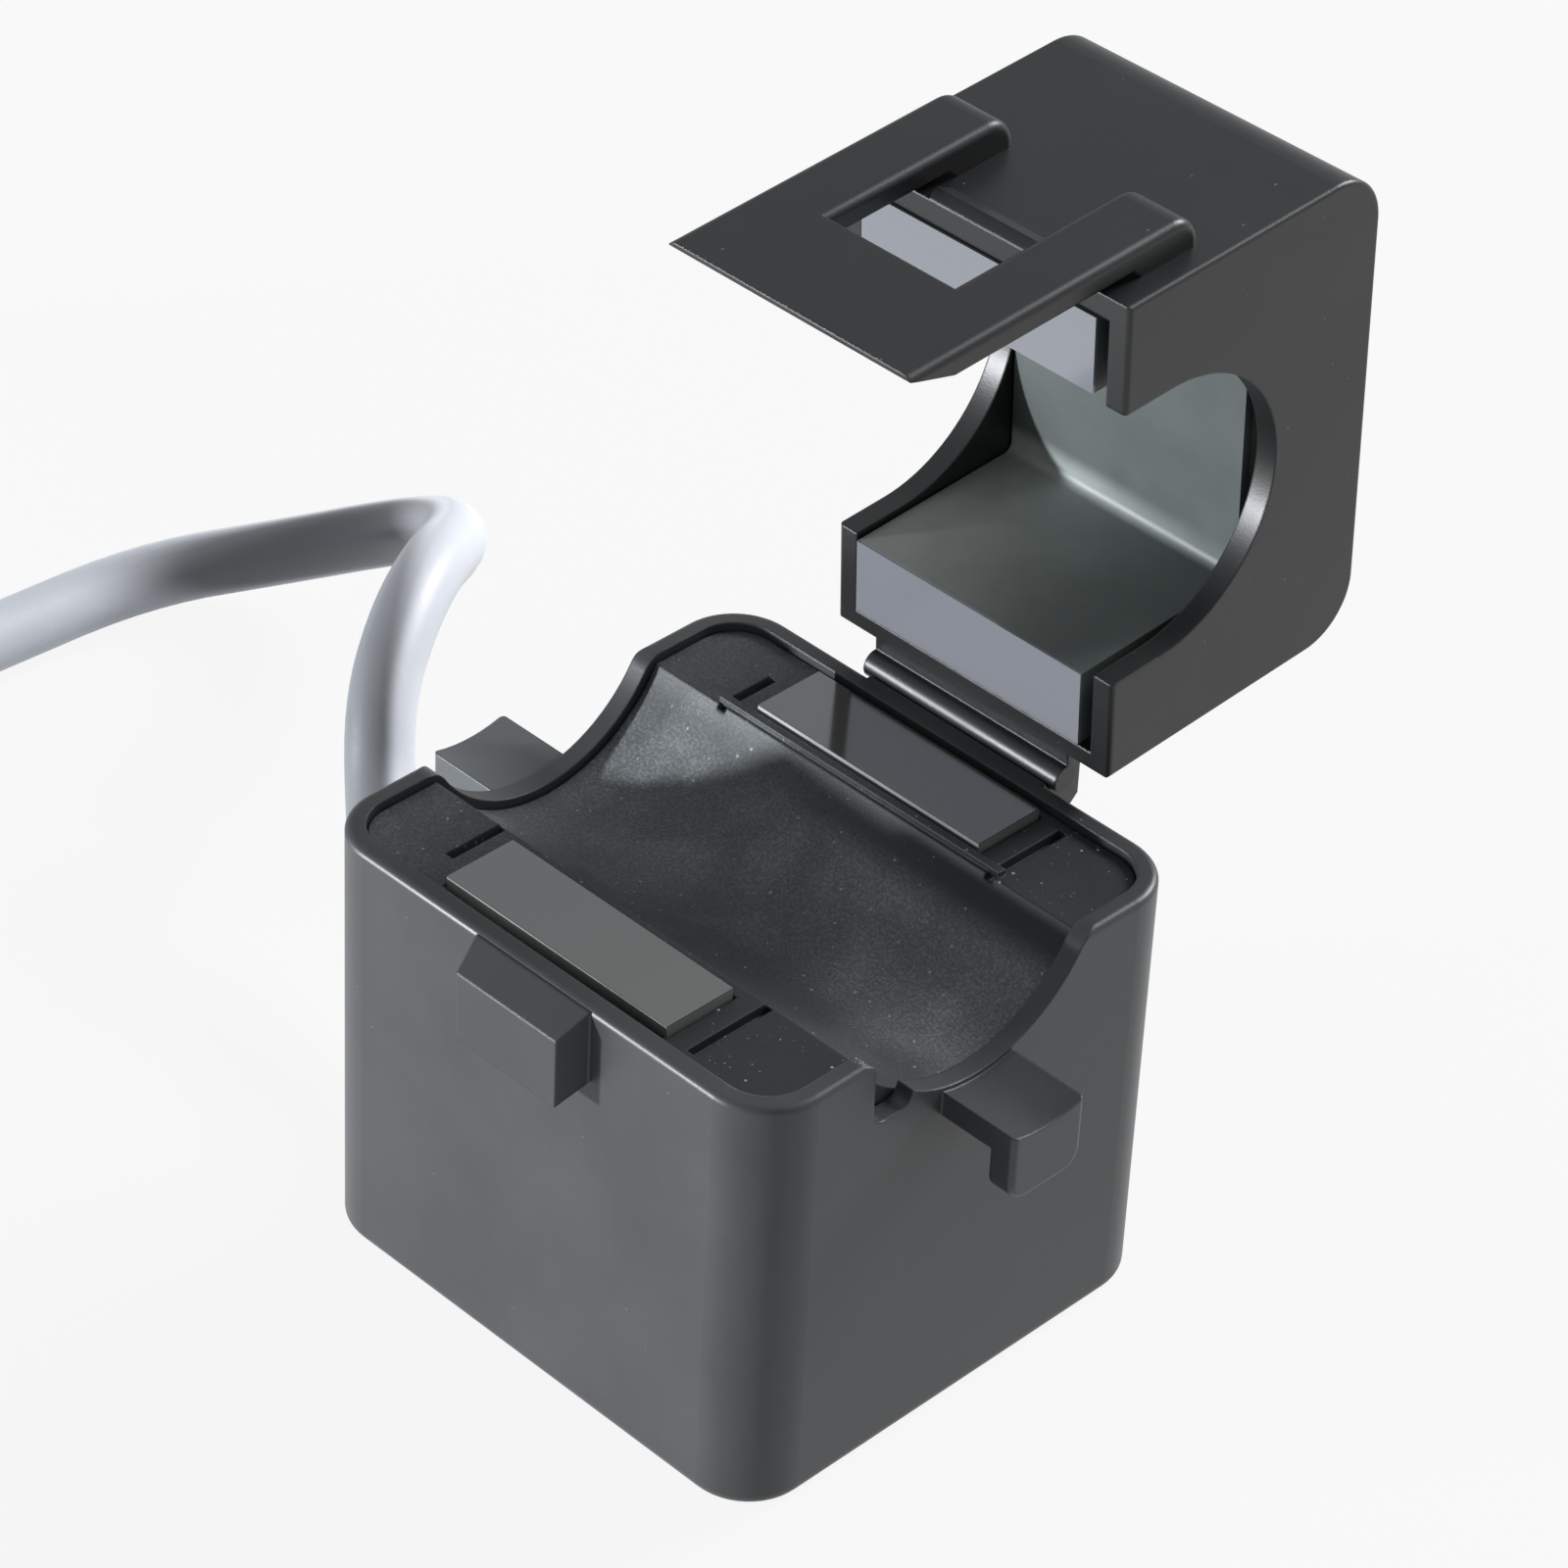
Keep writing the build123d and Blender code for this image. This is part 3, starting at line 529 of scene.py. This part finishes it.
class CT_OT_insert(bpy.types.Operator):
    """Give the trough insert its dusty black nylon, with painted light and sheen in its pale dust colour"""

    bl_idname = "ct.insert"
    bl_label = "Trough insert"

    def execute(self, context):
        s = context.scene.ct_plastic
        d = context.scene.ct_dust
        nylon = Finish("dusty_insert", IOR=DUSTY_IOR)
        cloud = nylon.noise(0.007, detail=4.0, rough=0.6)
        grain = nylon.noise(s.grain, rough=0.6)
        patch = nylon.noise(0.005, detail=3.0).smooth(0.4, 0.65)
        fine = nylon.specks(d.spacing * 0.6, d.size * 0.6, d.share) * patch
        coarse = nylon.specks(d.spacing, d.size, d.share * 0.6)
        grit = nylon.noise(0.00016, detail=3.0, rough=0.7).smooth(0.40, 0.70)
        trough = 1 - nylon.axis("Z").smooth(*TROUGH_TOP_Z)
        left = 1 - nylon.axis("X").smooth(*LEFT_END_X)
        right = nylon.axis("X").smooth(*RIGHT_END_X)
        far = nylon.axis("Y").smooth(*FAR_HALF_Y)
        # Dust all over the trough; the paler colour on its far half, and more at its right end, is also
        # painted sheen, and at the insert's left end it is also painted light where shade falls
        trough_dust_and_sheen = trough * (far * (right * RIGHT_DUST_AND_PAINTED_SHEEN + FAR_DUST_AND_PAINTED_SHEEN) + TROUGH_POWDER)
        dust_and_painted_light = (left * LEFT_DUST_AND_PAINTED_LIGHT + trough_dust_and_sheen) * (patch * 0.4 + 0.6) * (grit * 0.55 + 0.45)
        body = nylon.mottled(cloud, Vector(s.insert), 1.3, high=0.75)
        dusted = nylon.mix(fine * 0.6, nylon.mix(dust_and_painted_light, body, d.dust_and_painted_light), d.fine)
        nylon.feed("Base Color", nylon.mix(coarse * 0.7, dusted, d.coarse))
        rough = nylon.varied(cloud, middle=s.roughness + 0.11, swing=0.18)
        nylon.feed("Roughness", rough + fine * 0.25)
        nylon.bump(grain * 0.6 + fine * 0.6, depth=0.00004, strength=0.4, rounding=s.edge)
        nylon.dress("base_insert")
        return {"FINISHED"}


class CT_OT_cores(bpy.types.Operator):
    """Give both cores satin ferrite with ground pole faces"""

    bl_idname = "ct.cores"
    bl_label = "Ferrite cores"

    def execute(self, context):
        s = context.scene.ct_ferrite
        open_lid = Vector((0.0, math.sin(OPEN_ANGLE), math.cos(OPEN_ANGLE)))
        # Each core: its shine and colours, a point on its pole faces, the way from there into
        # the core, and how deep the grinding shows
        cores = (("lower_core", LOWER_CORE_IOR, s.lower_body, s.lower_pole,
                  Vector((0.0, 0.0, LOWER_POLE_Z)), Vector((0.0, 0.0, -1.0)), LOWER_GROUND),
                 ("upper_core", UPPER_CORE_IOR, s.upper_body, s.upper_pole,
                  HINGE, open_lid, UPPER_GROUND))
        for name, shine, shade, bright, pole, inward, skin in cores:
            ferrite = Finish("ferrite_" + name, IOR=shine)
            tint = Vector(shade)
            depth = ferrite.towards(ferrite.place(), inward) - pole.dot(inward)
            ground = 1 - depth.smooth(*skin)
            cloud = ferrite.noise(0.004, detail=4.0, rough=0.6)
            pits = ferrite.specks(spacing=0.0009, radius=0.00005, keep=0.35)
            scratch = ferrite.noise(0.0003, stretch=(0.04, 1.0, 1.0))
            leg = 1 - ferrite.axis("Z").smooth(*CORE_LEG_Z)
            left = 1 - ferrite.axis("X").smooth(*CORE_LEFT_X)
            # Painted reflection: the unground faces of the core's low leg are paled, most towards -X,
            # standing in for the pale surroundings mirrored there
            painted_reflection = (left * 0.8 + 0.1) * (cloud * 0.5 + 0.5) * (leg * 0.96 + 0.04)
            body = ferrite.mix(painted_reflection, ferrite.mottled(cloud, tint, 1.35), s.painted_reflection)
            pitted = ferrite.mix(pits * 0.6, body, tint * 0.4)
            ferrite.feed("Base Color", ferrite.mix(ground, pitted, bright))
            rough = (1 - ground) * ferrite.varied(cloud, middle=0.58, swing=0.16)
            ferrite.feed("Roughness", rough + ground * (scratch * 0.05 + s.polish))
            ferrite.bump((1 - ground) * (cloud - pits * 0.5), depth=0.00003, strength=0.4)
            ferrite.dress(name)
        return {"FINISHED"}


class CT_OT_inside(bpy.types.Operator):
    """Finish the sealed pieces in the base and lid, the winding and the cable's bush and ends"""

    bl_idname = "ct.inside"
    bl_label = "Inner pieces"

    def execute(self, context):
        for name, nodes, colour, rough, metal in INNER_FINISHES:
            finish = Finish(name, Metallic=metal)
            cloud = finish.noise(0.003, detail=3.0, rough=0.6)
            finish.feed("Base Color", finish.mottled(cloud, Vector(colour), 0.85))
            finish.feed("Roughness", finish.varied(cloud, middle=rough, swing=0.2))
            finish.bump(finish.noise(0.0003), depth=0.00002, strength=0.4)
            finish.dress(*nodes)
        copper = Finish("enamelled_copper", Metallic=0.9)
        values = {"Vector": copper.place(), "Scale": WINDING_BANDS}
        turns = copper.node("ShaderNodeTexWave", {"bands_direction": "Y"}, values)
        copper.feed("Base Color", copper.mix(turns, (0.20, 0.07, 0.02), (0.62, 0.27, 0.10)))
        copper.feed("Roughness", copper.varied(turns, middle=0.375, swing=-0.15))
        copper.bump(turns, depth=0.00008, strength=0.8)
        copper.dress("winding")
        bush = Finish("grey_bush", Roughness=0.6)
        rings = bush.noise(0.0008)
        shade = bush.mix(rings.smooth(0.3, 0.7), (0.50, 0.51, 0.54), (0.44, 0.45, 0.48))
        bush.feed("Base Color", shade)
        bush.bump(rings, depth=0.00003, strength=0.5)
        bush.dress("cable_bush")
        return {"FINISHED"}


def lay_floor(context, colour):
    """A pale floor that shows as white and keeps the object's shadow."""
    mesh = bpy.data.meshes.new("floor")
    corners = [(x * FLOOR_HALF, y * FLOOR_HALF, 0) for x, y in ((-1, -1), (1, -1), (1, 1), (-1, 1))]
    mesh.from_pydata(corners, [], [(0, 1, 2, 3)])
    floor = bpy.data.objects.new("floor", mesh)
    context.scene.collection.objects.link(floor)
    paper = Finish("pale_floor", Roughness=0.9)
    paper.feed("Base Color", paper.mix(paper.noise(0.002), colour, colour * 0.985))
    glow = paper.node("ShaderNodeEmission", {}, {"Color": (1.0, 1.0, 1.0, 1.0)})
    share = paper.background_rays() * FLOOR_GLOW
    shown = paper.node("ShaderNodeMixShader", {}, {0: share, 1: paper.surface, 2: glow})
    paper.tree.links.new(shown.socket, paper.output.inputs["Surface"])
    mesh.materials.append(paper.material)


def light_room(context, room, sky):
    """The room's even light, with paler surroundings on the rays that show them."""
    world = bpy.data.worlds.new("room")
    world.use_nodes = True
    context.scene.world = world
    graph = Graph(world.node_tree)
    walls = graph.node("ShaderNodeBackground", {}, {"Color": (*room, 1.0)})
    pale = graph.node("ShaderNodeBackground", {}, {"Color": (*sky, 1.0)})
    shown = graph.node("ShaderNodeMixShader", {}, {0: graph.background_rays(), 1: walls, 2: pale})
    graph.add("ShaderNodeOutputWorld", {}, {"Surface": shown})


def hang_lamps(context, settings):
    """The soft round lights, each turned to the object."""
    for name, power, place, size, tint in LAMPS:
        data = bpy.data.lights.new(name, "AREA")
        data.energy = getattr(settings, power)
        data.color = tint
        data.shape = "DISK"
        data.size = size
        lamp = bpy.data.objects.new(name, data)
        context.scene.collection.objects.link(lamp)
        lamp.location = place
        lamp.rotation_euler = (LAMP_AIM - Vector(place)).to_track_quat("-Z", "Y").to_euler()


class CT_OT_stage(bpy.types.Operator):
    """Set out the pale floor, the soft lights and the room"""

    bl_idname = "ct.stage"
    bl_label = "Stage"

    def execute(self, context):
        s = context.scene.ct_light
        lay_floor(context, Vector(s.floor))
        light_room(context, s.room, s.sky)
        hang_lamps(context, s)
        return {"FINISHED"}


class CT_PT_panel(bpy.types.Panel):
    """Lists the pieces of the current transformer"""

    bl_label = "Current Transformer"
    bl_space_type = "VIEW_3D"
    bl_region_type = "UI"
    bl_category = "Current Transformer"

    def draw(self, context):
        for operator in OPERATORS:
            self.layout.operator(operator.bl_idname)
        for name, group in GROUPS.items():
            box = self.layout.box()
            for prop in group.__annotations__:
                box.prop(getattr(context.scene, name), prop)


GROUPS = {
    "ct_camera": CameraSettings,
    "ct_light": LightSettings,
    "ct_plastic": PlasticSettings,
    "ct_dust": DustSettings,
    "ct_ferrite": FerriteSettings,
    "ct_cable": CableSettings,
}
OPERATORS = (CT_OT_camera, CT_OT_cable, CT_OT_housing, CT_OT_insert, CT_OT_cores, CT_OT_inside, CT_OT_stage)


def register():
    for group in GROUPS.values():
        bpy.utils.register_class(group)
    for operator in OPERATORS:
        bpy.utils.register_class(operator)
    bpy.utils.register_class(CT_PT_panel)
    for name, group in GROUPS.items():
        setattr(bpy.types.Scene, name, PointerProperty(type=group))


def unregister():
    for name in GROUPS:
        delattr(bpy.types.Scene, name)
    bpy.utils.unregister_class(CT_PT_panel)
    for operator in reversed(OPERATORS):
        bpy.utils.unregister_class(operator)
    for group in reversed(list(GROUPS.values())):
        bpy.utils.unregister_class(group)


def main():
    register()
    bpy.context.scene.view_settings.view_transform = "Standard"
    bpy.ops.ct.camera()
    bpy.ops.ct.cable()
    bpy.ops.ct.housing()
    bpy.ops.ct.insert()
    bpy.ops.ct.cores()
    bpy.ops.ct.inside()
    bpy.ops.ct.stage()


if __name__ == "__main__":
    main()
